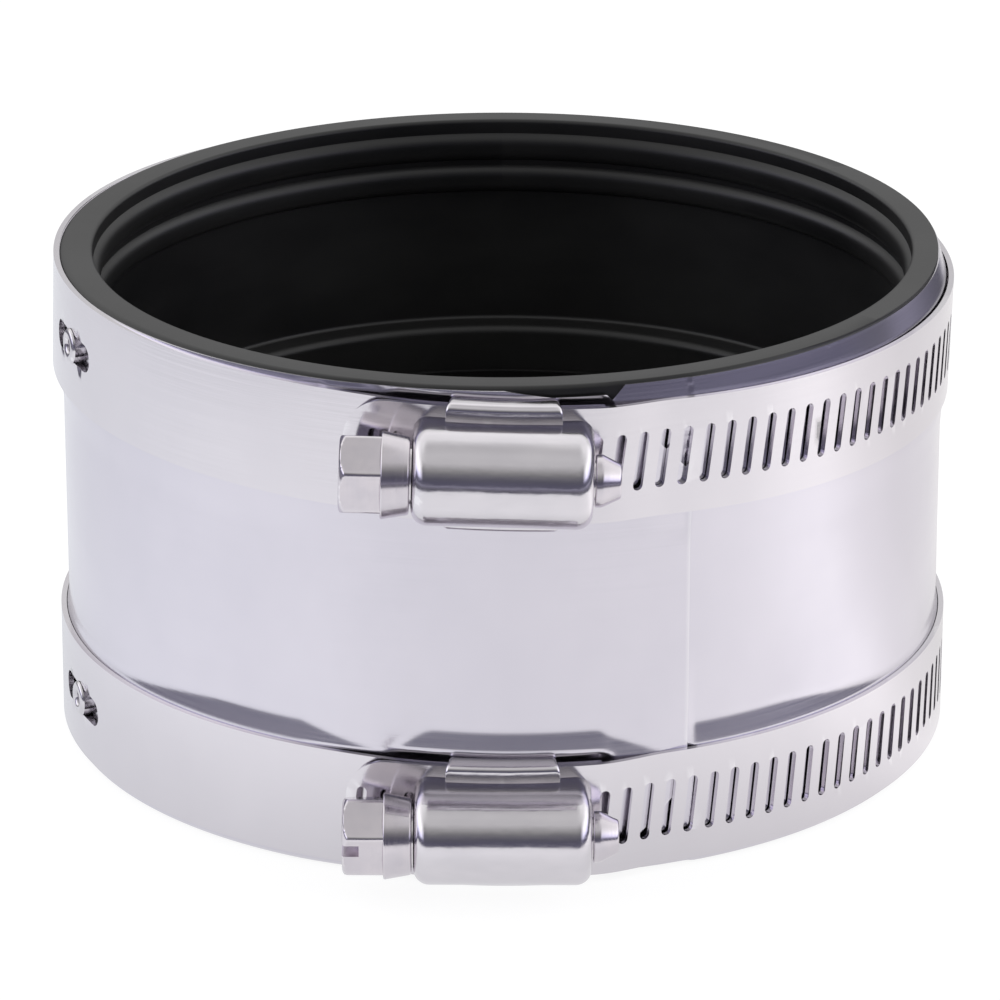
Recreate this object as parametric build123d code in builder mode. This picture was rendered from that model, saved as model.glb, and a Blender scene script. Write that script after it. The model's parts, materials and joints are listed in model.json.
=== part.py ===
from build123d import *
import os
from math import atan, cos, degrees, pi, radians, sin, sqrt, tan

# Shielded coupling for drain pipe: a rubber sleeve, a thin stainless shield
# around it and two worm-drive clamps around the shield.
# The origin is at mid-height on the pipe axis. +Z is up, -Y is the side of the
# screws, and an angle is counted from -Y towards +X. Lengths are in mm.

# Rubber sleeve
pipe_diameter = 88.9
rib_to_pipe = 0.15
rib_height = 0.8
rib_width = 3.3
rib_pitch = 3.9
first_rib_depth = 3.3
sleeve_height = 55.5
sleeve_wall = 3.35
stop_height = 6.0
stop_depth = 3.1
stop_round = 1.0
rim_round = 0.45

# Shield, a rolled sheet whose two ends lap at the front
sheet = 0.25
shield_setback = 0.3
lap_gap = 0.05
lap_outer_end = 23.5
lap_inner_end = 4.2
lap_ramp_start = -12.0
lap_ramp_end = 2.0
corner_cut = 9.5
lap_dip = 0.75
lap_dip_start = 3.0

# Clamp bands
band_width = 12.7
band_sheet = 0.6
band_gap = 0.35
layer_gap = 0.05
fixed_end = 12.0
fixed_ramp_start = -8.0
fixed_ramp_end = -22.0
top_ramp_start = 35.0
top_ramp_end = 15.0
tail_end = -19.0
tail_round = 4.6

# Slots that the worm turns in
slot_pitch = 2.6
slot_length = 6.45
slot_width = 1.1
slots_left = 6
slots_right = 33

# Saddle under the band ends
saddle_sheet = 0.5
saddle_length = 12.0
saddle_side_gap = 0.1
saddle_round = 0.4
lip_gap = 0.15

# Housing
housing_length = 18.8
housing_wall = 0.8
housing_round = 1.7
end_hole_gap = 0.15
foot_sheet = 0.6

# Screw
worm_radius = 3.9
worm_core = 2.65
worm_bite = 0.5
worm_room = 0.4
crest_width = 0.7
flank_angle = 15.0
thread_root = 0.3
neck_radius = 3.1
tip_neck_radius = 2.1
collar_radius = 4.6
collar_taper = 0.55
collar_length = 3.1
collar_round = 0.25
hex_flats = 7.94
hex_length = 4.2
hex_chamfer = 0.45
driver_width = 1.3
driver_depth = 1.8
end_play = 0.15
tip_disc_radius = 2.75
tip_disc = 0.7
tip_length = 2.0
tip_end_radius = 1.75

# Rivets that keep the clamps on the shield
rivet_angle = -70.0
rivet_slot_length = 11.8
rivet_slot_width = 3.1
rivet_shank = 1.3
rivet_head = 1.95
rivet_head_sheet = 0.4
rivet_hole = 0.75
rivet_foot = 2.7
rivet_round = 0.2
rivet_gap = 0.05
rivet_foot_gap = 0.12

# Where each clamp sits: the end of the sleeve it is near (1 top, -1 bottom), its
# middle's distance from that end, the drop of its right side in degrees, the place
# of the slot nearest the screw's middle, and how far the screw's head and its
# driver slot are turned up from -Y in degrees
clamps = {
    "upper": (1, 7.9, 1.7, 1.75, 20.0, 111.0),
    "lower": (-1, 7.35, 0.2, 0.24, 20.0, 0.0),
}

# Sizes that follow
crest_radius = pipe_diameter / 2 + rib_to_pipe
bore_radius = crest_radius + rib_height
sleeve_radius = bore_radius + sleeve_wall
shield_radius = sleeve_radius + sheet
lap_radius = shield_radius + lap_gap
shield_height = sleeve_height - 2 * shield_setback
band_radius = shield_radius + band_gap
saddle_radius = lap_radius + sheet + layer_gap
fixed_radius = saddle_radius + saddle_sheet + layer_gap
top_radius = fixed_radius + band_sheet + layer_gap
top_face = top_radius + band_sheet
foot_radius = top_face + layer_gap
lip_radius = foot_radius + foot_sheet + layer_gap
axis_radius = top_face - worm_bite + worm_radius
cavity_radius = worm_radius + worm_room
cap_radius = cavity_radius + housing_wall
mesh_radius = top_face - worm_bite / 2
slot_lean = degrees(atan(slot_pitch / (2 * pi * worm_radius)))
saddle_inside = band_width / 2 + saddle_side_gap
saddle_outside = saddle_inside + saddle_sheet
saddle_half_angle = degrees(saddle_length / 2 / lip_radius)
cavity_length = housing_length - 2 * housing_wall
rivet_seat = sqrt(sleeve_radius**2 - rivet_foot**2) - rivet_foot_gap


def seat_plane(end, inset, drop):
    """The middle plane of one clamp, square to its own axis."""
    return Plane(Location((0, 0, end * (sleeve_height / 2 - inset)), (0, drop, 0)))


def outward(seat, angle, radius, height=0.0):
    """A plane facing out from the clamp's axis, its X running to the right."""
    turn = Location((0, 0, height), (0, 0, angle))
    return Plane(seat.location * turn * Plane.XZ.offset(radius).location)


def across(seat, place):
    """A plane square to the screw, its X out from the clamp's axis and its Y up."""
    section = Plane((place, 0, 0), x_dir=(0, -1, 0), z_dir=(-1, 0, 0))
    return Plane(seat.location * section.location)


def sector(seat, half_angle):
    """The plane of a section that is revolved evenly about the front."""
    turn = Location((0, 0, 0), (0, 0, -half_angle))
    return Plane(seat.location * turn * across(Plane.XY, 0).location)


def spot(angle, radius):
    """A point of a plane square to the clamp's axis."""
    return (radius * sin(radians(angle)), -radius * cos(radians(angle)))


def wrap_line(arcs):
    """Arcs of falling angle about the axis, joined by smooth ramps."""
    drawn = []
    for start, end, radius in arcs:
        middle = (start + end) / 2
        drawn.append(ThreePointArc(spot(start, radius), spot(middle, radius), spot(end, radius)))
    for before, after in zip(drawn, drawn[1:]):
        Spline(before @ 1, after @ 0, tangents=(before % 1, after % 0))
    return drawn


def wrap_face(arcs, thickness):
    """The edge-on shape of a strip bent along the given arcs."""
    inner = wrap_line(arcs)
    outer = wrap_line([(start, end, radius + thickness) for start, end, radius in arcs])
    Line(inner[0] @ 0, outer[0] @ 0)
    Line(inner[-1] @ 1, outer[-1] @ 1)


def make_sleeve(seats):
    """The moulded rubber sleeve, with seal ribs and a pipe stop inside."""
    half = sleeve_height / 2
    rib_heights = [half - first_rib_depth - step * rib_pitch for step in (0, 1)]
    with BuildPart() as sleeve:
        with BuildSketch(Plane.XZ):
            with Locations((bore_radius + sleeve_wall / 2, 0)):
                wall = Rectangle(sleeve_wall, sleeve_height)
            fillet(wall.vertices(), rim_round)
            with Locations(*[(bore_radius, side * z) for z in rib_heights for side in (1, -1)]):
                SlotOverall(rib_width, 2 * rib_height, rotation=90)
            with Locations((bore_radius - stop_depth, 0)):
                stop = Rectangle(stop_depth + sleeve_wall / 2, stop_height, align=(Align.MIN, Align.CENTER))
            fillet(stop.vertices().group_by(Axis.X)[0], stop_round)
        revolve(axis=Axis.Z)
        for seat in seats:
            with BuildSketch(outward(seat, rivet_angle, rivet_seat - rivet_head_sheet - rivet_foot_gap)):
                Circle(rivet_foot + rivet_foot_gap)
            extrude(amount=sleeve_wall, mode=Mode.SUBTRACT)
    return sleeve.part


def corner_cuts(end_angle, side, dip):
    """What is cut off the corners at one end of the sheet, seen from the front."""
    front = Plane.XZ.offset(shield_radius / 2)
    top = shield_height / 2
    end_x = shield_radius * sin(radians(end_angle))
    back_x = end_x - side * corner_cut
    dip_x = shield_radius * sin(radians(lap_dip_start))
    with BuildSketch(front) as cuts:
        with BuildLine():
            if dip:
                Polyline((dip_x, top), (back_x, top - dip), (end_x, top - dip - corner_cut),
                         (end_x + side, top - dip - corner_cut), (end_x + side, top + 1),
                         (dip_x, top + 1), close=True)
            else:
                Polyline((back_x, top), (end_x, top - corner_cut), (end_x + side, top - corner_cut),
                         (end_x + side, top + 1), (back_x, top + 1), close=True)
        make_face()
        with BuildLine():
            Polyline((back_x, -top), (end_x, corner_cut - top), (end_x + side, corner_cut - top),
                     (end_x + side, -top - 1), (back_x, -top - 1), close=True)
        make_face()
    return cuts.sketch


def make_shield(seats):
    """The rolled sheet, lapped at the front with its four corners cut."""
    base = Plane.XY.offset(-shield_height / 2)
    with BuildPart() as inner_run:
        with BuildSketch(base):
            with BuildLine():
                wrap_face([(360 + lap_ramp_start, lap_inner_end, sleeve_radius)], sheet)
            make_face()
        extrude(amount=shield_height)
        extrude(corner_cuts(lap_inner_end, -1, 0.0), amount=shield_radius, mode=Mode.SUBTRACT)
    with BuildPart() as shield:
        with BuildSketch(base):
            with BuildLine():
                wrap_face([(lap_outer_end, lap_ramp_end, lap_radius),
                           (lap_ramp_start, lap_ramp_start - 1, sleeve_radius)], sheet)
            make_face()
        extrude(amount=shield_height)
        extrude(corner_cuts(lap_outer_end, 1, lap_dip), amount=shield_radius, mode=Mode.SUBTRACT)
        add(inner_run.part)
        for seat in seats:
            with BuildSketch(outward(seat, rivet_angle, shield_radius + sheet)):
                Circle(rivet_shank + rivet_gap)
            extrude(amount=-3 * sheet, mode=Mode.SUBTRACT)
    return shield.part


def slot_angles(phase):
    """The angle of every slot, from the free end to the last at the right."""
    steps = range(-slots_left, slots_right + 1)
    return [degrees((phase + step * slot_pitch) / mesh_radius) for step in steps]


def make_band(seat, phase):
    """A slotted band: its fixed end lies under the housing, its free end over it."""
    arcs = [
        (fixed_end, fixed_ramp_start, fixed_radius),
        (fixed_ramp_end, top_ramp_start - 360, band_radius),
        (top_ramp_end - 360, tail_end - 360, top_radius),
    ]
    over_end = fixed_end + degrees(slot_width / fixed_radius)
    with BuildPart() as band:
        with BuildSketch(seat.offset(-band_width / 2)):
            with BuildLine():
                wrap_face(arcs, band_sheet)
            make_face()
        extrude(amount=band_width)
        ends = band.edges().filter_by(lambda edge: abs(edge.length - band_sheet) < layer_gap / 10)
        tail = ends.sort_by(lambda edge: (edge.center() - seat.origin).length)[-2:]
        fillet(tail, tail_round)
        for angle in slot_angles(phase):
            floor = top_radius - layer_gap / 2 if angle < over_end else band_radius - layer_gap
            with BuildSketch(outward(seat, angle, floor)):
                SlotOverall(slot_length, slot_width, rotation=90 - slot_lean)
            extrude(amount=top_face - floor + layer_gap, mode=Mode.SUBTRACT)
        with BuildSketch(outward(seat, rivet_angle, band_radius - layer_gap)):
            SlotOverall(rivet_slot_length, rivet_slot_width)
        extrude(amount=2 * band_sheet, mode=Mode.SUBTRACT)
    return band.part


def make_saddle(seat):
    """The saddle under the bands, its sides folded over the housing's feet."""
    lip_edge = cap_radius + lip_gap
    with BuildPart() as saddle:
        with BuildSketch(sector(seat, saddle_half_angle)):
            with Locations((saddle_radius, 0)):
                Rectangle(lip_radius - saddle_radius + saddle_sheet, 2 * saddle_outside,
                          align=(Align.MIN, Align.CENTER))
            with Locations((saddle_radius + saddle_sheet, 0)):
                Rectangle(lip_radius - saddle_radius - saddle_sheet, 2 * saddle_inside,
                          align=(Align.MIN, Align.CENTER), mode=Mode.SUBTRACT)
            with Locations((lip_radius, 0)):
                Rectangle(2 * saddle_sheet, 2 * lip_edge, align=(Align.CENTER, Align.CENTER),
                          mode=Mode.SUBTRACT)
            corners = vertices().filter_by(lambda corner: on_side(seat, corner))
            fillet(corners, saddle_round)
        revolve(axis=Axis(seat.origin, seat.z_dir), revolution_arc=2 * saddle_half_angle)
    return saddle.part


def on_side(seat, corner):
    """Whether a corner of the section lies on the saddle's outer side."""
    height = seat.to_local_coords(corner.center()).Z
    return abs(abs(height) - saddle_outside) < layer_gap / 10


def cap_profile(radius):
    """The housing's arched section, down to the band."""
    with Locations((axis_radius, 0)):
        Circle(radius)
        Rectangle(axis_radius - fixed_radius, 2 * radius, align=(Align.MAX, Align.CENTER))


def make_housing(seat):
    """The pressed housing: an arched cap with closed ends and two feet."""
    with BuildPart() as housing:
        with BuildSketch(across(seat, housing_length / 2)):
            cap_profile(cap_radius)
        extrude(amount=housing_length)
        ends = housing.faces().sort_by(Axis(seat.origin, seat.x_dir))
        rims = (ends[0].edges() + ends[-1].edges()).filter_by(lambda edge: on_arch(seat, edge))
        fillet(rims, housing_round)
        with BuildSketch(across(seat, cavity_length / 2)):
            cap_profile(cavity_radius)
        extrude(amount=cavity_length, mode=Mode.SUBTRACT)
        for side, neck in ((-1, neck_radius), (1, tip_neck_radius)):
            with BuildSketch(across(seat, side * housing_length)):
                with Locations((axis_radius, 0)):
                    Circle(neck + end_hole_gap)
            extrude(amount=side * housing_length, mode=Mode.SUBTRACT)
        with BuildSketch(seat.offset(-cap_radius)):
            Circle(foot_radius)
        extrude(amount=2 * cap_radius, mode=Mode.SUBTRACT)
        with BuildSketch(sector(seat, saddle_half_angle)):
            for side in (1, -1):
                with Locations((foot_radius, side * cavity_radius)):
                    Rectangle(foot_sheet, band_width / 2 - cavity_radius,
                              align=(Align.MIN, Align.MIN if side > 0 else Align.MAX))
        revolve(axis=Axis(seat.origin, seat.z_dir), revolution_arc=2 * saddle_half_angle)
    return housing.part


def on_arch(seat, edge):
    """Whether an end edge is on the arch or a leg, and not along the open bottom."""
    return seat.to_local_coords(edge.center()).Y < -fixed_radius - layer_gap


def make_screw(seat, phase, head_turn, driver_turn):
    """The hex-headed worm screw with its collar, thread and retained tip."""
    left = -housing_length / 2 - end_play
    right = housing_length / 2 + end_play
    collar_start = left - collar_length
    head_start = collar_start - hex_length
    corner_radius = hex_flats / sqrt(3)
    centre = Plane((0, -axis_radius, 0), x_dir=(1, 0, 0), z_dir=(0, -1, 0))
    centre = Plane(seat.location * centre.location)
    spin = Axis(centre.origin, centre.x_dir)
    with BuildPart() as screw:
        with BuildSketch(centre):
            with BuildLine():
                Polyline(
                    (collar_start - hex_length / 2, 0), (collar_start - hex_length / 2, worm_core),
                    (collar_start, worm_core), (collar_start, collar_radius),
                    (left, collar_radius - collar_taper), (left, neck_radius),
                    (-cavity_length / 2 + end_play, neck_radius),
                    (-cavity_length / 2 + end_play, worm_core),
                    (cavity_length / 2 - end_play, worm_core),
                    (cavity_length / 2 - end_play, tip_neck_radius), (right, tip_neck_radius),
                    (right, tip_disc_radius), (right + tip_disc, tip_disc_radius),
                    (right + tip_disc + tip_length, tip_end_radius),
                    (right + tip_disc + tip_length, 0), close=True)
            make_face()
        revolve(axis=spin)
        collar_rims = screw.edges().filter_by(GeomType.CIRCLE)
        collar_rims = collar_rims.filter_by(lambda edge: edge.radius > neck_radius + layer_gap)
        fillet(collar_rims, collar_round)
        with BuildSketch(across(seat, collar_start)):
            with Locations((axis_radius, 0)):
                RegularPolygon(hex_flats / 2, 6, major_radius=False, rotation=head_turn)
        extrude(amount=hex_length)
        with BuildSketch(centre):
            with BuildLine():
                Polyline((head_start, corner_radius - hex_chamfer), (head_start, corner_radius + 1),
                         (head_start + hex_chamfer / 2, corner_radius + 1),
                         (head_start + hex_chamfer / 2, corner_radius), close=True)
            make_face()
        revolve(axis=spin, mode=Mode.SUBTRACT)
        with BuildSketch(across(seat, head_start)):
            with Locations((axis_radius, 0)):
                Rectangle(2 * hex_flats, driver_width, rotation=driver_turn)
        extrude(amount=-driver_depth, mode=Mode.SUBTRACT)
        add(make_thread(seat, phase))
    return screw.part


def make_thread(seat, phase):
    """The helical ridge, which lies on the band side at every slot centre."""
    depth = worm_radius - worm_core
    root_width = crest_width + 2 * (depth + thread_root) * tan(radians(flank_angle))
    reach = cavity_length / 2 - root_width / 2 - end_play
    start = phase - int((reach + phase) / slot_pitch) * slot_pitch
    base = Plane((start, -axis_radius, 0), x_dir=(0, 1, 0), z_dir=(1, 0, 0))
    with BuildPart() as thread:
        with BuildLine() as path:
            Helix(slot_pitch, reach - start, worm_core)
        with BuildSketch(Plane(path.line @ 0, x_dir=(1, 0, 0), z_dir=path.line % 0)):
            with BuildLine():
                Polyline((-thread_root, -root_width / 2), (depth, -crest_width / 2),
                         (depth, crest_width / 2), (-thread_root, root_width / 2), close=True)
            make_face()
        sweep(path=path.line, is_frenet=True)
    return seat.location * base.location * thread.part


def make_rivet(seat):
    """A hollow rivet through the shield and the long slot in the band."""
    head_seat = band_radius + band_sheet + rivet_gap
    with BuildPart() as rivet:
        with BuildSketch(outward(seat, rivet_angle, rivet_seat - rivet_head_sheet)):
            Circle(rivet_foot)
        extrude(amount=rivet_head_sheet)
        with BuildSketch(outward(seat, rivet_angle, rivet_seat)):
            Circle(rivet_shank)
        extrude(amount=head_seat - rivet_seat)
        with BuildSketch(outward(seat, rivet_angle, head_seat)):
            Circle(rivet_head)
        extrude(amount=rivet_head_sheet)
        with BuildSketch(outward(seat, rivet_angle, rivet_seat - rivet_head_sheet)):
            Circle(rivet_hole)
        extrude(amount=sleeve_wall, mode=Mode.SUBTRACT)
        rims = rivet.edges().filter_by(GeomType.CIRCLE)
        rims = rims.filter_by(lambda edge: abs(edge.radius - rivet_head) < layer_gap)
        fillet(rims.sort_by(lambda edge: (edge.center() - seat.origin).length)[-1], rivet_round)
    return rivet.part


def save(piece, name):
    """Labels one piece and writes it to its own file."""
    piece.label = name
    export_step(piece, f"parts/{name}.step")


os.makedirs("parts", exist_ok=True)
seats = {name: seat_plane(end, inset, drop) for name, (end, inset, drop, *_) in clamps.items()}
save(make_sleeve(seats.values()), "rubber_sleeve")
save(make_shield(seats.values()), "shield")
for name, (*_, phase, head_turn, driver_turn) in clamps.items():
    seat = seats[name]
    save(make_band(seat, phase), f"{name}_band")
    save(make_saddle(seat), f"{name}_saddle")
    save(make_housing(seat), f"{name}_housing")
    save(make_screw(seat, phase, head_turn, driver_turn), f"{name}_screw")
    save(make_rivet(seat), f"{name}_rivet")
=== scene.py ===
import json
import math

import bmesh
import bpy
import numpy as np
from mathutils import Euler, Matrix, Vector
from mathutils.geometry import delaunay_2d_cdt


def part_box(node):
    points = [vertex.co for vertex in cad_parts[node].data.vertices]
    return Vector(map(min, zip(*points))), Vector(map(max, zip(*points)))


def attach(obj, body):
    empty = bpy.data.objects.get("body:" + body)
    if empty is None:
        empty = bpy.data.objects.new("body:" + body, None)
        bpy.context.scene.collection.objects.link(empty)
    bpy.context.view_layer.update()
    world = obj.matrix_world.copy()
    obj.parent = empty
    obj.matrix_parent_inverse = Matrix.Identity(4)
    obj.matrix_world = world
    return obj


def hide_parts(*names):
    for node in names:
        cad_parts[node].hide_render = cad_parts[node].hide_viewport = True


# The looks of the shielded coupling. Shapes are worked out in millimetres in
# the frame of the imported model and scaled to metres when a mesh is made. An
# angle is counted from -Y, the side of the screws, towards +X.

MM = 0.001

# A strip is laid flat at this radius: a place along it is its angle in radians times this
flat_radius = 50.0

# Points nearer than this are one, and a cutting tool runs this far past what it cuts
fine_weld = 0.0001
tool_room = 1.0

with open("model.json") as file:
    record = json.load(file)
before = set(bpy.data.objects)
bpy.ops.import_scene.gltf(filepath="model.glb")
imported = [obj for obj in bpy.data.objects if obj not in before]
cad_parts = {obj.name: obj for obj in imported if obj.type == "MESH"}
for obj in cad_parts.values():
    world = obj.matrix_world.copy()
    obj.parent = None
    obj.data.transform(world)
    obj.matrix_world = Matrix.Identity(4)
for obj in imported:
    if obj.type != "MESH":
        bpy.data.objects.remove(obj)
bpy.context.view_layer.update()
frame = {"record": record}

# Sizes read from the frame
sleeve_low, sleeve_high = [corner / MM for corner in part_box("rubber_sleeve")]
shield_low, shield_high = [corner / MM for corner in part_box("shield")]
base_height = sleeve_low.z
sleeve_height = sleeve_high.z - sleeve_low.z
sleeve_radius = sleeve_high.x
mounts = {mount["name"]: mount for mount in frame["record"]["mounts"]}
crest_radius = mounts["upper_socket"]["dims"]["r_mm"]
stop_radius = mounts["flow_bore"]["dims"]["r_mm"]
joints = {joint["child"]: joint for joint in frame["record"]["behaviour"]["joints"]}

# Sleeve section, how square its ribs' crowns are, and the steps of its turned mesh
sleeve_steps = 288
rib_height = 0.8
bore_radius = crest_radius + rib_height
rib_width = 3.3
rib_depths = (3.3, 7.2)
rib_power = 3.2
stop_height = 6.0
stop_round = 1.0
rim_round = 0.45

# Sheets and the gaps between them, from the sleeve outwards
sheet = 0.25
lap_gap = 0.05
layer_gap = 0.05
band_gap = 0.35
saddle_sheet = 0.5
band_sheet = 0.6
foot_sheet = 0.6
shield_radius = sleeve_radius + sheet
lap_radius = shield_radius + lap_gap
band_radius = shield_radius + band_gap
saddle_radius = lap_radius + sheet + layer_gap
fixed_radius = saddle_radius + saddle_sheet + layer_gap
top_radius = fixed_radius + band_sheet + layer_gap
top_face = top_radius + band_sheet
foot_radius = top_face + layer_gap
lip_radius = foot_radius + foot_sheet + layer_gap

# Shield: arcs of falling angle, each with the radius of the sheet's inner face
lap_stops = ((23.5, 2.0, lap_radius), (-12.0, -355.8, sleeve_radius))
corner_cut = 9.5
lap_dip = 0.75
lap_dip_start = 3.0
lap_seam = lap_stops[0][0]

# The mesh of the sheet: within the zone its columns follow the cut corners, its rows are
# fine near the bands and its columns near the lap
bent_zone = 24.0
fine_row = 0.35
fine_rows_above = 9.0
plain_rows = 12
fine_turn = 0.5
plain_turn = 1.5
plain_turns = (-40.0, -315.0)

# The sheet stands out to a loose band's inner face, less the clearance. Above a band it leans
# back at an even slope for a reach in mm, is nipped in a little there, and then runs straight.
# The lap's reach is given at its start and at the seam
swell_clear = 0.02
swell_lean = 0.19
steepest = 0.6
swell_soft = 0.5
least_reach = 0.1
nip_length = 9.0
front_reach = 2.8
side_loss = 1.9
lap_reach = {"upper": (3.2, 3.2), "lower": (3.4, 0.5)}
lean_below = 0.6
held_share = 0.5

# Where that eases in: the start and the length, in degrees round the sleeve from the screws
lap_ease = (-16.5, 8.0)
beside_screw_ease = (12.0, 2.0)
loose_ease = (13.0, 13.0)
past_seam_ease = (0.1, 1.0)
reach_ease = (11.0, lap_seam - 11.0)
side_ease = (36.0, 24.0)

# The same in mm: above a band's edge, from a band's middle, and below a band's edge
edge_ease = (0.05, 0.8)
slots_ease = (3.6, 1.6)
below_length = 4.5

# The end of the lap stands off a little between the bands
lap_lift = 0.14
lap_lift_start = 14.0
lap_lift_top = 11.5
lap_lift_soft = 3.0

# Bands: the same kind of arcs, the slots at each side of the screw's middle, and the long
# slot for the rivet
band_width = 12.7
band_stops = ((12.0, -8.0, fixed_radius), (-22.0, -339.0, band_radius), (-349.0, -379.0, top_radius))
edge_round = 0.08
tail_round = 4.6
slot_pitch = 2.6
slot_length = 6.45
slot_width = 1.1
slots_left = 6
slots_right = 33
rivet_angle = -70.0
rivet_slot = (11.8, 3.1)
longest_hole = 15.0

# The mesh of a band: the steps along its edge and its columns, its rows, and the room left
# between a point and the nearest edge
outline_step = 1.0
column_step = 1.0
band_rows = 9
point_room = 0.45

# Rivet
rivet_foot = 2.7
rivet_shank = 1.3
rivet_hole = 0.75
rivet_head = 1.95
rivet_head_sheet = 0.4
rivet_gap = 0.05
rivet_foot_gap = 0.12

# Screw, its parts turned from points that start just off its axis; the hex head's rim is
# given by the depth behind its face and the distance inside its flats
worm_radius = 3.9
worm_core = 2.65
worm_bite = 0.5
worm_room = 0.4
crest_width = 0.7
crest_round = 0.1
crest_flare = 0.02
flank_angle = 15.0
thread_root = 0.2
thread_steps = 48
neck_radius = 3.1
tip_neck_radius = 2.1
collar_radius = 4.6
collar_taper = 0.55
collar_length = 3.1
collar_round = 0.28
hex_flats = 7.94
hex_length = 4.2
hex_rim = ((0.0, 0.9), (0.0, 0.4), (0.08, 0.12))
hex_chamfer = 0.62
hex_chamfer_start = 0.06
hex_soft = 0.08
hex_over = 0.1
hex_bevel = 0.1
driver_width = 1.3
driver_depth = 1.8
end_play = 0.15
tip_disc_radius = 2.75
tip_disc = 0.7
tip_length = 2.0
tip_end_radius = 1.75
tip_round = 0.22
on_axis = 0.01
axis_radius = top_face - worm_bite + worm_radius
mesh_radius = top_face - worm_bite / 2

# Saddle and housing; the housing's legs are cut off by the room for the band
saddle_length = 12.0
saddle_inside = 6.45
saddle_corner = 0.55
outer_bend = 0.75
inner_bend = 0.15
lip_round = 0.2
saddle_bevel = 0.1
lip_edge = 4.75
housing_length = 18.8
housing_wall = 0.8
housing_round = 1.7
housing_bevel = 0.12
housing_cut = 50.0
band_room = 8.0
room_steps = 720
end_hole_gap = 0.15
cap_radius = worm_radius + worm_room + housing_wall

# Each clamp: the slot nearest the screw's middle, the turn of the hex head and
# of its driver slot
clamps = {"upper": (1.75, 20.0, 111.0), "lower": (0.24, 20.0, 0.0)}

# Painted highlight along steel's sharp outer edges: its colour on each steel, and how sharp an edge is
# there
sheet_edge_highlight = (0.82, 0.80, 0.83)
pressing_edge_highlight = (0.84, 0.82, 0.84)
screw_edge_highlight = (0.82, 0.79, 0.81)
highlight_start = 0.52
highlight_length = 0.08
highlight_most = 0.7

# Camera, in mm and degrees, at the photograph's viewing angle
camera_distance = 666.0
camera_elevation = 20.7
camera_target = (-0.26, 0.0, -3.15)
camera_lens = 212.4

# The floor's painted light in reflections, by metres from the axis and by the angle round it: painted
# shade under the object, full near it and dim beyond, tinted cool and warm at the sides and violet far
# off
floor_reach = 4.0
floor_light = 1.13
glow_seen = 0.8
glow_mirrored = 0.17
table_glow = ((0.0, 0.02), (0.049, 0.02), (0.055, 0.8), (0.085, 1.0), (0.225, 0.97), (0.268, 0.08),
              (0.4, 0.14), (0.9, 0.3))
window_glow = ((-180, 0.84), (-150, 0.8), (-122, 0.82), (-100, 0.87), (-82, 0.92), (-66, 0.95),
               (-40, 0.96), (-15, 0.89), (0, 0.88), (20, 0.9), (40, 0.95), (55, 1.02), (66, 1.14),
               (76, 1.17), (90, 0.98), (105, 0.86), (130, 0.84), (180, 0.84))
far_table = (0.23, 0.27)
white = (1.0, 1.0, 1.0)
cool_side = (0.97, 0.99, 1.03)
warm_side = (1.0, 0.985, 0.985)
violet_far = (0.97, 0.94, 1.22)

# The room's light by the rise of a ray: in front, behind and at both sides
front_glow = ((0.0, 0.12), (0.25, 0.12), (0.45, 0.22), (0.62, 0.42), (0.78, 0.66), (0.9, 0.58),
              (1.0, 0.62))
back_glow = ((0.0, 0.3), (0.2, 0.55), (0.38, 0.8), (0.6, 1.1), (0.9, 1.0), (1.0, 0.62))
wall_glow = ((0.0, 0.13), (0.12, 0.17), (0.24, 1.3), (0.45, 1.7), (0.75, 0.95), (1.0, 0.62))
front_span = (-0.6, 0.2)
wall_span = (0.55, 0.85)
horizon_rise = (0.12, 0.5)
horizon_back = (0.1, 0.6)
violet_horizon = (0.95, 0.93, 1.3)


def seat_matrix(name):
    """From a clamp's own frame, its band's middle at height 0, to the row's."""
    joint = joints[f"{name}_screw"]
    axis = Vector(joint["axis"])
    drop = math.atan2(-axis.z, axis.x)
    height = joint["pos_m"][2] / MM
    return Matrix.Translation((0, 0, height)) @ Euler((0, drop, 0)).to_matrix().to_4x4()


def smooth_step(share):
    """Eases from 0 to 1."""
    share = min(max(share, 0.0), 1.0)
    return share * share * (3 - 2 * share)


def ease(value, start, length):
    """Eases from 0 at a start to 1 a length further on."""
    return smooth_step((value - start) / length)


def lean(above, reach, rise, steep):
    """Falls evenly from its rise at a band's edge over its reach, then comes back to nothing."""
    if reach < least_reach:
        return 0.0
    nip = rise - steep * reach
    soft = min(swell_soft, reach / 2)
    if above < reach - soft:
        return rise - steep * above
    if above < reach + soft:
        return nip + steep * (above - reach - soft) ** 2 / (4 * soft)
    return nip * (1.0 - ease(above, reach + soft, nip_length))


def swell(angle, height):
    """How far the sleeve and sheet stand out, in mm, at and beside the two bands."""
    turn = (math.degrees(angle) + 180.0) % 360.0 - 180.0
    lapped = ease(turn, *lap_ease) if turn < lap_seam else 0.0
    beside = ease(turn, *beside_screw_ease) * lapped
    steep = swell_lean / max(math.cos(angle), steepest)
    full = band_gap - swell_clear
    half = band_width / 2
    out = 0.0
    for name in clamps:
        middle = seat_matrix(name) @ Vector((sleeve_radius * math.sin(angle), 0.0, 0.0))
        above = height - middle.z - half + lean_below * beside
        away = abs(height - middle.z)
        first, last = lap_reach[name]
        even = first == last
        loose = min(max((-turn - loose_ease[0]) / loose_ease[1], 0.0), 1.0)
        if turn >= lap_seam:
            loose = 1.0 if even else ease(turn - lap_seam, *past_seam_ease)
        reach = (first + (last - first) * ease(turn, *reach_ease)) * lapped
        rise = min(steep * reach, full)
        if above > 0:
            far = first if even else front_reach - side_loss * ease(abs(turn), *side_ease)
            if turn < 0:
                far *= loose
                out += lean(above, far, min(steep * far, full), steep)
            else:
                out += loose * lean(above, far, full, steep)
            out += lean(above, reach, rise, steep) * max(beside, ease(above, *edge_ease))
        elif away < half:
            held = (loose * full + beside * rise) * ease(away, *slots_ease)
            out += max(held, held_share * loose * full)
        else:
            out += loose * full * (1.0 - ease(away, half, below_length))
    return out


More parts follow.
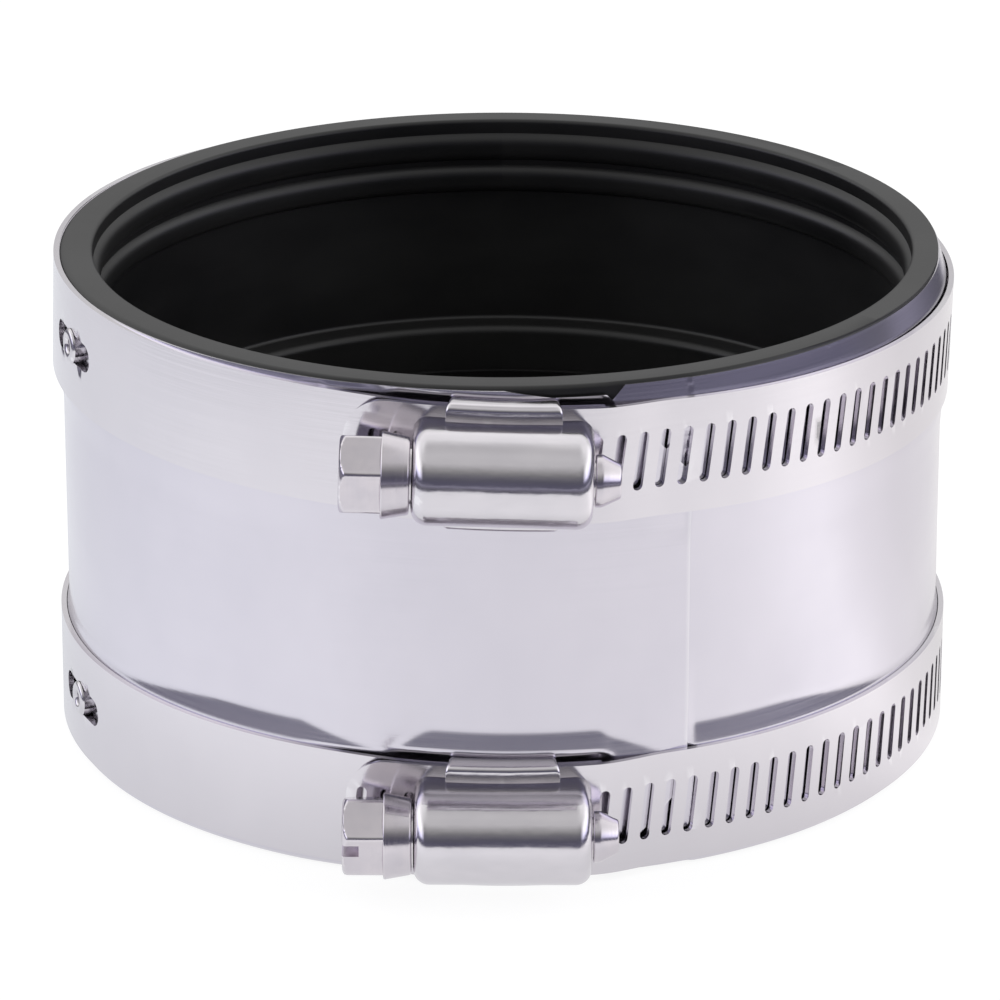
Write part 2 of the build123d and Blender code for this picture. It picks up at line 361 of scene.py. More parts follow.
def new_object(name, points, faces, matrix=None):
    """A mesh object from points in millimetres, placed by a clamp's matrix."""
    matrix = matrix or Matrix.Identity(4)
    mesh = bpy.data.meshes.new(name)
    mesh.from_pydata([(matrix @ Vector(point)) * MM for point in points], [], faces)
    mesh.validate()
    mesh.update()
    piece = bpy.data.objects.new(name, mesh)
    bpy.context.scene.collection.objects.link(piece)
    return piece


def shade(piece, angle):
    """Smooth shading, with edges sharper than the angle kept crisp."""
    mesh = piece.data
    mesh.shade_smooth()
    mesh.set_sharp_from_angle(angle=math.radians(angle))


def apply_modifiers(piece):
    """Turns the object's modifiers into its mesh."""
    graph = bpy.context.evaluated_depsgraph_get()
    solid = bpy.data.meshes.new_from_object(piece.evaluated_get(graph))
    old = piece.data
    piece.modifiers.clear()
    piece.data = solid
    bpy.data.meshes.remove(old)


def bevel(piece, width, segments, angle, firm=False):
    """Rounds every edge sharper than the angle, and keeps wide faces evenly shaded if firm."""
    modifier = piece.modifiers.new("bevel", "BEVEL")
    modifier.width = width * MM
    modifier.segments = segments
    modifier.limit_method = "ANGLE"
    modifier.angle_limit = math.radians(angle)
    modifier.miter_outer = "MITER_ARC"
    modifier.harden_normals = firm
    apply_modifiers(piece)


def cut(piece, tool):
    """Takes the tool's solid out of the piece and deletes the tool."""
    modifier = piece.modifiers.new("cut", "BOOLEAN")
    modifier.operation = "DIFFERENCE"
    modifier.solver = "EXACT"
    modifier.object = tool
    bpy.context.view_layer.update()
    apply_modifiers(piece)
    bpy.data.objects.remove(tool)


def arc(centre, radius, start, end, steps):
    """Points of an arc in a flat section, angles in degrees."""
    points = []
    for step in range(steps + 1):
        angle = math.radians(start + (end - start) * step / steps)
        points.append((centre[0] + radius * math.cos(angle), centre[1] + radius * math.sin(angle)))
    return points


def lathe(name, section, steps, matrix=None):
    """Turns a closed section of (radius, height) points about Z into a solid."""
    points = []
    for step in range(steps):
        angle = 2 * math.pi * step / steps
        for radius, height in section:
            points.append((radius * math.sin(angle), -radius * math.cos(angle), height))
    count = len(section)
    faces = []
    for step in range(steps):
        after = (step + 1) % steps
        for index in range(count):
            follow = (index + 1) % count
            faces.append((step * count + index, after * count + index,
                          after * count + follow, step * count + follow))
    piece = new_object(name, points, faces, matrix)
    merge_points(piece)
    return piece


def ring_faces(steps, count):
    """Faces along a row of rings of as many points each, with a face on the first and the last."""
    faces = []
    for step in range(steps):
        for index in range(count):
            follow = (index + 1) % count
            a = step * count
            faces.append((a + index, a + follow, a + count + follow, a + count + index))
    faces.append(tuple(range(count)))
    faces.append(tuple(steps * count + index for index in reversed(range(count))))
    return faces


def merge_points(piece, distance=0.0005):
    """Joins points that fall on one place, such as those on a lathe's axis."""
    work = bmesh.new()
    work.from_mesh(piece.data)
    bmesh.ops.remove_doubles(work, verts=work.verts, dist=distance * MM)
    bmesh.ops.recalc_face_normals(work, faces=work.faces)
    work.to_mesh(piece.data)
    work.free()
    piece.data.update()


def strip_radius(stops, angle):
    """The inner radius of a bent strip at an unwound angle."""
    for index, (start, end, radius) in enumerate(stops):
        if angle >= end:
            if angle <= start or index == 0:
                return radius
            _, before_end, before_radius = stops[index - 1]
            share = smooth_step((before_end - angle) / (before_end - start))
            return before_radius + (radius - before_radius) * share
    return stops[-1][2]


def bend(stops, place, height, lift):
    """The point of a strip: its place along the strip, height and lift off the inner face."""
    angle = place / flat_radius
    radius = strip_radius(stops, math.degrees(angle)) + lift
    return (radius * math.sin(angle), -radius * math.cos(angle), height)


def flat_place(degrees):
    """The place along a flat strip of an angle in degrees."""
    return math.radians(degrees) * flat_radius


def slot_outline(centre, length, width, turned, steps=7):
    """A stadium outline, its long axis turned in degrees from the strip's width."""
    outline = []
    half = (length - width) / 2
    for end, first in ((half, 0.0), (-half, 180.0)):
        outline += arc((0.0, end), width / 2, first, first + 180.0, steps)
    turn = math.radians(-turned)
    placed = []
    for x, y in outline:
        placed.append((centre[0] + x * math.cos(turn) - y * math.sin(turn),
                       centre[1] + x * math.sin(turn) + y * math.cos(turn)))
    return placed


def inside(point, outline):
    """Whether a flat point is inside a closed outline."""
    x, y = point
    hit = False
    for (x1, y1), (x2, y2) in zip(outline, outline[1:] + outline[:1]):
        if (y1 > y) != (y2 > y) and x < (x2 - x1) * (y - y1) / (y2 - y1) + x1:
            hit = not hit
    return hit


def in_hole(point, holes):
    """Whether a flat point is inside one of the holes."""
    return any(inside(point, hole) for hole in holes if abs(hole[0][0] - point[0]) < longest_hole)


def flat_sheet(outline, holes, columns, rows, clear):
    """Triangles of a flat sheet with holes, with regular points to bend it by."""
    points = [Vector(point) for point in outline]
    edges = [(index, (index + 1) % len(outline)) for index in range(len(outline))]
    for hole in holes:
        first = len(points)
        points += [Vector(point) for point in hole]
        edges += [(first + index, first + (index + 1) % len(hole)) for index in range(len(hole))]
    borders = np.array([tuple(point) for point in points])
    for x in columns:
        near = borders[np.abs(borders[:, 0] - x) < clear]
        for y in rows:
            if len(near) and np.min(np.hypot(near[:, 0] - x, near[:, 1] - y)) < clear:
                continue
            if inside((x, y), outline) and not in_hole((x, y), holes):
                points.append(Vector((x, y)))
    found = delaunay_2d_cdt(points, edges, [], 0, 1e-6)
    flat, triangles = [tuple(point) for point in found[0]], []
    for face in found[2]:
        middle = (sum(flat[i][0] for i in face) / 3, sum(flat[i][1] for i in face) / 3)
        if inside(middle, outline) and not in_hole(middle, holes):
            triangles.append(tuple(face))
    return flat, triangles


def thick_strip(name, flat, triangles, place, thickness, matrix=None):
    """Both skins and the edge walls of a sheet, bent by a placing function."""
    count = len(flat)
    points = [place(x, y, 0.0) for x, y in flat] + [place(x, y, thickness) for x, y in flat]
    faces = [tuple(i + count for i in face) for face in triangles]
    faces += [tuple(reversed(face)) for face in triangles]
    sides = dict.fromkeys(side for face in triangles for side in zip(face, face[1:] + face[:1]))
    for a, b in sides:
        if (b, a) not in sides:
            faces.append((a, b, b + count, a + count))
    piece = new_object(name, points, faces, matrix)
    work = bmesh.new()
    work.from_mesh(piece.data)
    bmesh.ops.recalc_face_normals(work, faces=work.faces)
    work.to_mesh(piece.data)
    work.free()
    return piece


def sheet_levels(half):
    """Heights from low to high, close together at both ends where the bands sit."""
    fine = [half - fine_row * step for step in range(int((half - fine_rows_above) / fine_row) + 1)]
    plain = list(np.linspace(-fine[-1], fine[-1], plain_rows))[1:-1]
    return [-level for level in fine] + plain + fine[::-1]


def build_sleeve():
    """The moulded rubber sleeve as one turned section, swelled out with the sheet."""
    half = sleeve_height / 2
    stop_top = stop_height / 2
    upper = arc((sleeve_radius - rim_round, half - rim_round), rim_round, 0, 90, 5)
    upper += arc((bore_radius + rim_round, half - rim_round), rim_round, 90, 180, 5)
    for depth in rib_depths:
        upper += rib_section(half - depth)
    upper += arc((bore_radius - stop_round / 2, stop_top + stop_round / 2), stop_round / 2, 0, -90, 4)
    upper += arc((stop_radius + stop_round, stop_top - stop_round), stop_round, 90, 180, 6)
    section = upper + [(radius, -height) for radius, height in reversed(upper)]
    section += [(sleeve_radius, level) for level in sheet_levels(half - rim_round)[1:-1]]
    piece = lathe("sleeve_moulding", section, sleeve_steps)
    for vertex in piece.data.vertices:
        x, y, z = vertex.co / MM
        outer = (math.hypot(x, y) - sleeve_radius) / rim_round + 1.0
        if outer > 0:
            lift = swell(math.atan2(x, -y), z) * smooth_step(outer)
            vertex.co.x += lift * x / math.hypot(x, y) * MM
            vertex.co.y += lift * y / math.hypot(x, y) * MM
    shade(piece, 50)
    return piece


def rib_section(middle, steps=14):
    """One seal rib, from its outer side to its inner side, with soft flanks."""
    points = []
    for step in range(steps + 1):
        share = step / steps
        height = middle + rib_width / 2 * (1 - 2 * share)
        lift = 1 - abs(2 * share - 1) ** rib_power
        points.append((bore_radius - rib_height * lift, height))
    return points


def build_shield():
    """The rolled sheet with its lap, cut corners and the dip of its upper layer."""
    half = (shield_high.z - shield_low.z) / 2
    start = flat_place(lap_seam)
    end = flat_place(lap_stops[-1][1])
    dip_start = flat_place(lap_dip_start)
    dip_full = start - corner_cut
    turns = list(np.arange(lap_seam, plain_turns[0], -fine_turn))
    turns += list(np.arange(*plain_turns, -plain_turn))
    turns += list(np.arange(plain_turns[1], lap_stops[-1][1], -fine_turn)) + [lap_stops[-1][1]]
    levels = [(height + half) / (2 * half) for height in sheet_levels(half)]
    points = []
    for turn in turns:
        for level in levels:
            place = flat_place(turn)
            dip = lap_dip * min(max((place - dip_start) / (dip_full - dip_start), 0.0), 1.0)
            top = half - dip
            height = -half + (half + top) * level
            short = max(0.0, height - (top - corner_cut), -height - (half - corner_cut))
            if start - place < bent_zone:
                from_zone = place - (start - bent_zone)
                place = (start - bent_zone) + from_zone * (bent_zone - short) / bent_zone
            if place - end < bent_zone:
                from_zone = (end + bent_zone) - place
                place = (end + bent_zone) - from_zone * (bent_zone - short) / bent_zone
            points.append((place, height))
    faces = []
    rows = len(levels)
    for column in range(len(turns) - 1):
        for row in range(rows - 1):
            a = column * rows + row
            faces.append((a, a + 1, a + rows + 1, a + rows))

    def place_point(place, height, lift):
        angle = place / flat_radius
        edge = max(0.0, math.degrees(angle) - lap_lift_start) / (lap_seam - lap_lift_start)
        edge = lap_lift * edge ** 2 * smooth_step((lap_lift_top - abs(height)) / lap_lift_soft)
        return bend(lap_stops, place, height, lift + edge + swell(angle, height))

    piece = thick_strip("shield_sheet", points, faces, place_point, sheet)
    shade(piece, 40)
    return piece


def band_outline(start, end):
    """The flat outline of a band, square at its fixed end and round at its tail."""
    half = band_width / 2
    outline = [(start, -half), (start, half)]
    steps = int((start - end - tail_round) / outline_step)
    top = [(start + (end + tail_round - start) * step / steps, half) for step in range(1, steps)]
    outline += top
    outline += arc((end + tail_round, half - tail_round), tail_round, 90, 180, 10)
    outline += arc((end + tail_round, tail_round - half), tail_round, 180, 270, 10)
    outline += [(place, -half) for place, _ in reversed(top)]
    return outline


def build_band(name, phase):
    """A clamp band with its leaning slots and the long slot for its rivet."""
    start = flat_place(band_stops[0][0])
    end = flat_place(band_stops[-1][1])
    slot_lean = math.degrees(math.atan(slot_pitch / (2 * math.pi * worm_radius)))
    holes = []
    for step in range(-slots_left, slots_right + 1):
        place = (phase + step * slot_pitch) / mesh_radius * flat_radius - 2 * math.pi * flat_radius
        holes.append(slot_outline((place, 0.0), slot_length, slot_width, slot_lean))
    holes.append(slot_outline((flat_place(rivet_angle), 0.0), *rivet_slot, 90.0, 12))
    columns = np.arange(end + column_step / 2, start, column_step)
    rows = np.linspace(-band_width / 2, band_width / 2, band_rows)[1:-1]
    flat, triangles = flat_sheet(band_outline(start, end), holes, columns, rows, point_room)

    def place_point(place, height, lift):
        return bend(band_stops, place, height, lift)

    strip = f"{name}_band_strip"
    piece = thick_strip(strip, flat, triangles, place_point, band_sheet, seat_matrix(name))
    piece.data.shade_smooth()
    bevel(piece, edge_round, 2, 60, firm=True)
    return piece


def sweep_section(name, sections, places, matrix):
    """Closed sections of (out, height) points at given places along X, as one solid."""
    points = []
    for x, ring in zip(places, sections):
        points += [(x, -out, height) for out, height in ring]
    piece = new_object(name, points, ring_faces(len(places) - 1, len(sections[0])), matrix)
    merge_points(piece, fine_weld)
    return piece


def cap_section(radius, floor, steps=48):
    """The arched section of the housing, open side down at the floor radius."""
    points = [(floor, radius)]
    points += [(axis_radius + radius * math.sin(a), radius * math.cos(a))
               for a in np.linspace(0, math.pi, steps + 1)]
    points.append((floor, -radius))
    return points


def build_housing(name, matrix):
    """The pressed housing: rounded ends, hollow inside, open below where the band passes."""
    half = housing_length / 2
    steps = 8
    places, sections = [], []
    for side in (-1, 1):
        for step in range(steps + 1)[::-side]:
            angle = math.pi / 2 * step / steps
            inset = housing_round * (1 - math.sin(angle))
            places.append(side * (half - housing_round + housing_round * math.cos(angle)))
            sections.append(cap_section(cap_radius - inset, housing_cut))
    piece = sweep_section(f"{name}_housing_pressing", sections, places, matrix)
    inner = [cap_section(cap_radius - housing_wall, housing_cut - tool_room)] * 2
    inner_half = half - housing_wall
    cut(piece, sweep_section("tool", inner, [-inner_half, inner_half], matrix))
    for neck, end in ((neck_radius, -half - tool_room), (tip_neck_radius, half + tool_room)):
        cut(piece, tube_along_x("tool", neck + end_hole_gap, min(0, end), max(0, end), matrix))
    room = [(0.0, -band_room), (foot_radius, -band_room), (foot_radius, band_room), (0.0, band_room)]
    cut(piece, lathe("tool", room, room_steps, matrix))
    bevel(piece, housing_bevel, 2, 60)
    shade(piece, 45)
    return piece


def tube_along_x(name, radius, start, end, matrix, steps=64):
    """A plain rod about the screw's axis, as a cutting tool."""
    ring = [(axis_radius + radius * math.cos(a), radius * math.sin(a))
            for a in np.linspace(0, 2 * math.pi, steps, endpoint=False)]
    return sweep_section(name, [ring] * 2, [start, end], matrix)


def build_feet(name, matrix):
    """The two feet of the housing, held under the lips of the saddle."""
    pieces = []
    for side in (1, -1):
        inner = side * (cap_radius - housing_wall / 2)
        outer = side * band_width / 2
        ring = [(foot_radius, inner), (foot_radius, outer),
                (foot_radius + foot_sheet, outer), (foot_radius + foot_sheet, inner)]
        pieces.append(sector_solid("foot", ring, saddle_length / 2 / lip_radius, matrix))
    return join(pieces, f"{name}_housing_feet")


def sector_solid(name, ring, half_angle, matrix, steps=16, corner=0.0, crown=0.0):
    """A section of (radius, height) points swept about the clamp's axis, its high corners rounded."""
    near = [corner * (1 - math.cos(a)) / lip_radius for a in np.linspace(0, math.pi / 2, 9)[:-1]]
    straight = half_angle - corner / lip_radius
    angles = [-half_angle + step for step in near if corner]
    angles += list(np.linspace(-straight, straight, steps + 1))
    angles += [half_angle - step for step in reversed(near) if corner]
    points = []
    for angle in angles:
        left = max(0.0, corner - (half_angle - abs(angle)) * lip_radius)
        drop = corner - math.sqrt(max(0.0, corner ** 2 - left ** 2))
        for radius, height in ring:
            share = max(0.0, abs(height) - crown) / (saddle_inside + saddle_sheet - crown)
            side = height - math.copysign(drop * share, height)
            points.append((radius * math.sin(angle), -radius * math.cos(angle), side))
    piece = new_object(name, points, ring_faces(len(angles) - 1, len(ring)), matrix)
    merge_points(piece, fine_weld)
    return piece


def join(pieces, name):
    """One object from several."""
    work = bmesh.new()
    for piece in pieces:
        work.from_mesh(piece.data)
    mesh = bpy.data.meshes.new(name)
    work.to_mesh(mesh)
    work.free()
    for piece in pieces:
        bpy.data.objects.remove(piece)
    joined = bpy.data.objects.new(name, mesh)
    bpy.context.scene.collection.objects.link(joined)
    return joined


def build_saddle(name, matrix):
    """The saddle: a curved base whose sides fold up and in over the feet."""
    outside = saddle_inside + saddle_sheet
    lip_top = lip_radius + saddle_sheet
    base_top = saddle_radius + saddle_sheet
    ring = [(saddle_radius, 0.0)]
    ring += arc((saddle_radius + outer_bend, outside - outer_bend), outer_bend, 180, 90, 6)
    ring += arc((lip_top - outer_bend, outside - outer_bend), outer_bend, 90, 0, 6)
    ring += arc((lip_top - lip_round, lip_edge + lip_round), lip_round, 0, -90, 3)
    ring += arc((lip_radius + lip_round, lip_edge + lip_round), lip_round, -90, -180, 3)
    ring += arc((lip_radius - inner_bend, saddle_inside - inner_bend), inner_bend, 0, 90, 3)
    ring += arc((base_top + inner_bend, saddle_inside - inner_bend), inner_bend, 90, 180, 3)
    ring.append((base_top, 0.0))
    ring += [(radius, -height) for radius, height in reversed(ring[1:-1])]
    half_angle = saddle_length / 2 / lip_radius
    piece = sector_solid(f"{name}_saddle_pressing", ring, half_angle, matrix, 24, saddle_corner,
                         lip_edge)
    bevel(piece, saddle_bevel, 2, 60)
    shade(piece, 40)
    return piece


def turned_x(name, profile, matrix, steps=96):
    """A solid turned about the screw's axis from (x, radius) points."""
    rings = []
    for x, radius in profile:
        rings.append([(axis_radius + radius * math.cos(a), radius * math.sin(a))
                      for a in np.linspace(0, 2 * math.pi, steps, endpoint=False)])
    return sweep_section(name, rings, [x for x, _ in profile], matrix)


def soft_corner(points, radius, steps=4):
    """Rounds the inner corners of an open line of (x, y) points."""
    line = [points[0]]
    for before, corner, after in zip(points, points[1:], points[2:]):
        corner = Vector(corner)
        a = Vector(before) - corner
        b = Vector(after) - corner
        reach = min(radius, a.length / 2, b.length / 2)
        first = corner + a.normalized() * reach
        last = corner + b.normalized() * reach
        for step in range(steps + 1):
            share = step / steps
            point = first * (1 - share) ** 2 + corner * 2 * share * (1 - share) + last * share ** 2
            line.append(tuple(point))
    line.append(points[-1])
    return line


def build_screw(name, phase, head_turn, driver_turn, matrix):
    """The worm screw: hex head with its driver slot, collar, thread and tip."""
    left = -housing_length / 2 - end_play
    right = housing_length / 2 + end_play
    collar_start = left - collar_length
    head_start = collar_start - hex_length
    cavity = housing_length / 2 - housing_wall - end_play
    disc_end = right + tip_disc
    tip_end = disc_end + tip_length
    # The shank and the head run a little into the collar and the tip
    collar_face = collar_start + 0.1
    shank_start = left - 1.0
    shank_end = right + 0.1
    head_end = collar_start + 0.3
    collar = soft_corner([(collar_face, on_axis), (collar_face, collar_radius),
                          (left, collar_radius - collar_taper), (left, on_axis)], collar_round)
    shank = [(shank_start, on_axis), (shank_start, neck_radius), (-cavity, neck_radius),
             (-cavity, worm_core), (cavity, worm_core), (cavity, tip_neck_radius),
             (shank_end, tip_neck_radius), (shank_end, on_axis)]
    tip = soft_corner([(right, on_axis), (right, tip_disc_radius), (disc_end, tip_disc_radius),
                       (tip_end, tip_end_radius), (tip_end, on_axis)], tip_round)
    pieces = [turned_x("collar", collar, matrix), turned_x("shank", shank, matrix),
              turned_x("tip", tip, matrix)]
    pieces.append(hex_head(head_start, head_end, head_turn, driver_turn, matrix))
    pieces.append(worm_thread(phase, cavity, matrix))
    piece = join(pieces, f"{name}_worm_screw")
    shade(piece, 38)
    return piece


def hex_head(start, end, head_turn, driver_turn, matrix, steps=144):
    """The hex head, its outer corners chamfered and a driver slot across it."""
    flat = hex_flats / 2
    corner = hex_flats / math.sqrt(3)
    # A soft rim round the front face, then the chamfer out to the corners
    profile = [(start + depth, flat - inward) for depth, inward in hex_rim]
    rise = corner - flat + hex_over
    profile += [(start + hex_chamfer_start + hex_chamfer * share, flat - hex_soft + rise * share)
                for share in (0.25, 0.5, 0.75, 1.0)]
    profile.append((end, corner))
    rings = []
    for x, limit in profile:
        ring = []
        for angle in np.linspace(0, 2 * math.pi, steps, endpoint=False):
            local = (angle - math.radians(head_turn)) % (math.pi / 3) - math.pi / 6
            radius = min(flat / math.cos(local), limit, corner - hex_soft)
            ring.append((axis_radius + radius * math.cos(angle), radius * math.sin(angle)))
        rings.append(ring)
    piece = sweep_section("head", rings, [x for x, _ in profile], matrix)
    turn = math.radians(driver_turn)
    slot = []
    for out, up in ((-1, -1), (1, -1), (1, 1), (-1, 1)):
        out *= hex_flats
        up *= driver_width / 2
        slot.append((axis_radius + out * math.cos(turn) - up * math.sin(turn),
                     out * math.sin(turn) + up * math.cos(turn)))
    cut(piece, sweep_section("tool", [slot] * 2, [start - tool_room, start + driver_depth], matrix))
    bevel(piece, hex_bevel, 3, 45)
    return piece


def worm_thread(phase, cavity, matrix):
    """The helical ridge, on the band side at every slot centre."""
    root_radius = worm_core - thread_root
    root = crest_width / 2 + (worm_radius - root_radius) * math.tan(math.radians(flank_angle))
    shoulder = crest_width / 2 + crest_flare
    crest = crest_width / 2 - crest_round
    reach = cavity - root
    start = phase - int((reach + phase) / slot_pitch) * slot_pitch
    turns = (reach - start) / slot_pitch
    steps = int(turns * thread_steps)
    upper = [(root_radius, root), (worm_radius - crest_round, shoulder), (worm_radius, crest)]
    section = [(radius, -shift) for radius, shift in upper] + upper[::-1]
    points = []
    for step in range(steps + 1):
        angle = 2 * math.pi * turns * step / steps
        x = start + slot_pitch * turns * step / steps
        for radius, shift in section:
            out = axis_radius - radius * math.cos(angle)
            points.append((x + shift, -out, radius * math.sin(angle)))
    piece = new_object("thread", points, ring_faces(steps, len(section)), matrix)
    merge_points(piece, fine_weld)
    return piece


def build_rivet(name, matrix):
    """The hollow rivet, its head rolled over outside the band."""
    seat = math.sqrt(sleeve_radius ** 2 - rivet_foot ** 2) - rivet_foot_gap
    head = band_radius + band_sheet + rivet_gap
    middle = (rivet_hole + rivet_head) / 2
    curl = (rivet_head - rivet_hole) / 2
    section = [(rivet_hole, seat - rivet_head_sheet), (rivet_foot, seat - rivet_head_sheet),
               (rivet_foot, seat), (rivet_shank, seat), (rivet_shank, head)]
    section += [(middle + curl * math.cos(a), head + rivet_head_sheet * math.sin(a))
                for a in np.linspace(0, math.pi, 13)]
    piece = lathe(f"{name}_rivet_eyelet", section, 72)
    turn = Matrix.Rotation(math.radians(rivet_angle), 4, "Z") @ Matrix.Rotation(math.pi / 2, 4, "X")
    to_metres = Matrix.Diagonal((MM, MM, MM, 1))
    piece.data.transform(to_metres @ matrix @ turn @ to_metres.inverted())
    shade(piece, 50)
    return piece


def add_node(tree, kind, values=None, **settings):
    """A shader node with its settings, and its inputs set or linked by name."""
    made = tree.nodes.new(kind)
    for key, value in settings.items():
        setattr(made, key, value)
    for key, value in (values or {}).items():
        if isinstance(value, bpy.types.NodeSocket):
            tree.links.new(value, made.inputs[key])
        else:
            made.inputs[key].default_value = value
    return made


def maths(tree, operation, first, second=0.0):
    """The result of one sum on two numbers or sockets."""
    return add_node(tree, "ShaderNodeMath", {0: first, 1: second}, operation=operation).outputs[0]


def new_material(name, colour, metallic, rough):
    """A material with its plain values, its tree and its shader."""
    material = bpy.data.materials.new(name)
    material.use_nodes = True
    shader = material.node_tree.nodes["Principled BSDF"]
    shader.inputs["Base Color"].default_value = (*colour, 1.0)
    shader.inputs["Metallic"].default_value = metallic
    shader.inputs["Roughness"].default_value = rough
    return material, material.node_tree, shader


def mix_values(tree, factor, first, second):
    """A value between two."""
    values = {"Factor": factor, "A": first, "B": second}
    return add_node(tree, "ShaderNodeMix", values).outputs["Result"]


def room_ramp(tree, factor, stops):
    """Brightness by height or distance, from (place, value) stops."""
    ramp = add_node(tree, "ShaderNodeValToRGB", {"Fac": factor})
    marks = ramp.color_ramp.elements
    for index, (place, value) in enumerate(stops):
        mark = marks[index] if index < 2 else marks.new(place)
        mark.position = place
        mark.color = (value, value, value, 1.0)
    return ramp.outputs["Color"]


def rolled_place(tree, along, across):
    """Coordinates round and up the pipe axis, each with its own stretch."""
    place = add_node(tree, "ShaderNodeTexCoord").outputs["Object"]
    parts = add_node(tree, "ShaderNodeSeparateXYZ", {"Vector": place}).outputs
    behind = maths(tree, "MULTIPLY", parts["Y"], -1.0)
    angle = maths(tree, "ARCTAN2", parts["X"], behind)
    values = {"X": maths(tree, "MULTIPLY", angle, along),
              "Y": maths(tree, "MULTIPLY", parts["Z"], across)}
    return add_node(tree, "ShaderNodeCombineXYZ", values).outputs["Vector"]


def scaled_place(tree, stretch):
    """Object coordinates stretched along each axis."""
    place = add_node(tree, "ShaderNodeTexCoord").outputs["Object"]
    values = {0: place, 1: stretch}
    return add_node(tree, "ShaderNodeVectorMath", values, operation="MULTIPLY").outputs[0]


def mottle(tree, place, scale, detail=2.0, rough=0.5):
    """Smooth noise from 0 to 1."""
    values = {"Vector": place, "Scale": scale, "Detail": detail, "Roughness": rough}
    return add_node(tree, "ShaderNodeTexNoise", values).outputs["Fac"]


def spread(tree, factor, low, high, start=0.3, end=0.7):
    """A factor between the start and the end, stretched between a low and a high value."""
    values = {"Value": factor, "From Min": start, "From Max": end, "To Min": low, "To Max": high}
    return add_node(tree, "ShaderNodeMapRange", values).outputs["Result"]


def tint(tree, factor, first, second):
    """A colour between two by a factor."""
    blend = add_node(tree, "ShaderNodeMix", {"Factor": factor}, data_type="RGBA")
    blend.inputs["A"].default_value = (*first, 1.0)
    blend.inputs["B"].default_value = (*second, 1.0)
    return blend.outputs["Result"]


def blend_colours(tree, factor, colour, other):
    """A linked colour that turns to another where the factor is 1."""
    blend = add_node(tree, "ShaderNodeMix", {"Factor": factor}, data_type="RGBA")
    tree.links.new(colour, blend.inputs["A"])
    blend.inputs["B"].default_value = (*other, 1.0)
    return blend.outputs["Result"]


def edge_highlight(tree, colour, bright, start=highlight_start):
    """A colour with a painted highlight, brighter along the piece's sharp outer edges."""
    point = add_node(tree, "ShaderNodeNewGeometry").outputs["Pointiness"]
    highlit = spread(tree, point, 0.0, highlight_most, start, start + highlight_length)
    return blend_colours(tree, highlit, colour, bright)


def roughen(tree, shader, height, depth, strength, normal=None):
    """Adds a bump of the given depth in mm to the shader."""
    values = {"Height": height, "Strength": strength, "Distance": depth * MM}
    if normal is not None:
        values["Normal"] = normal
    made = add_node(tree, "ShaderNodeBump", values).outputs["Normal"]
    tree.links.new(made, shader.inputs["Normal"])
    return made


def sheet_steel(name, light, dark, rough, highlight_from):
    """Bright rolled strip: fine lines along it, faint scratches and a soft unevenness."""
    material, tree, shader = new_material(name, light, 1.0, rough)
    grain = mottle(tree, rolled_place(tree, 2.0, 9000.0), 1.0, 3.0)
    cloud = mottle(tree, rolled_place(tree, 4.0, 60.0), 1.0, 4.0, 0.6)
    scratch = mottle(tree, rolled_place(tree, 90.0, 260.0), 1.0, 6.0, 0.75)
    mark = spread(tree, scratch, 0.0, 1.0, 0.68, 0.74)
    colour = tint(tree, spread(tree, cloud, 0.0, 1.0), light, dark)
    # Painted highlight along the strip's sharp edges
    tree.links.new(edge_highlight(tree, colour, sheet_edge_highlight, highlight_from), shader.inputs["Base Color"])
    lines = spread(tree, grain, rough - 0.03, rough + 0.05)
    scratched = maths(tree, "ADD", lines, maths(tree, "MULTIPLY", mark, 0.08))
    tree.links.new(scratched, shader.inputs["Roughness"])
    first = roughen(tree, shader, cloud, 0.02, 0.25)
    roughen(tree, shader, grain, 0.002, 0.35, first)
    return material


def pressed_steel(name, light, dark, rough):
    """Polished pressing with the shallow dents and rubbed marks of the tool."""
    material, tree, shader = new_material(name, light, 1.0, rough)
    dents = mottle(tree, scaled_place(tree, (1.0, 1.0, 1.0)), 1100.0, 2.0)
    waves = mottle(tree, scaled_place(tree, (0.5, 1.0, 1.0)), 340.0, 2.0)
    rub = mottle(tree, scaled_place(tree, (0.12, 1.0, 1.0)), 5200.0, 3.0)
    colour = tint(tree, spread(tree, waves, 0.0, 1.0), light, dark)
    # Painted highlight along the pressing's sharp edges
    tree.links.new(edge_highlight(tree, colour, pressing_edge_highlight), shader.inputs["Base Color"])
    tree.links.new(spread(tree, rub, rough - 0.03, rough + 0.06), shader.inputs["Roughness"])
    first = roughen(tree, shader, waves, 0.11, 0.4)
    second = roughen(tree, shader, dents, 0.025, 0.4, first)
    roughen(tree, shader, rub, 0.0015, 0.3, second)
    return material


def turned_steel(name, light, dark, rough):
    """Bright plated screw steel with fine turning lines round it."""
    material, tree, shader = new_material(name, light, 1.0, rough)
    lines = mottle(tree, scaled_place(tree, (1.0, 0.03, 0.03)), 5200.0, 3.0)
    cloud = mottle(tree, scaled_place(tree, (1.0, 1.0, 1.0)), 420.0, 3.0)
    colour = tint(tree, spread(tree, cloud, 0.0, 1.0), light, dark)
    # Painted highlight along the screw's sharp edges
    tree.links.new(edge_highlight(tree, colour, screw_edge_highlight), shader.inputs["Base Color"])
    tree.links.new(spread(tree, lines, rough - 0.04, rough + 0.08), shader.inputs["Roughness"])
    first = roughen(tree, shader, cloud, 0.03, 0.3)
    roughen(tree, shader, lines, 0.003, 0.5, first)
    return material


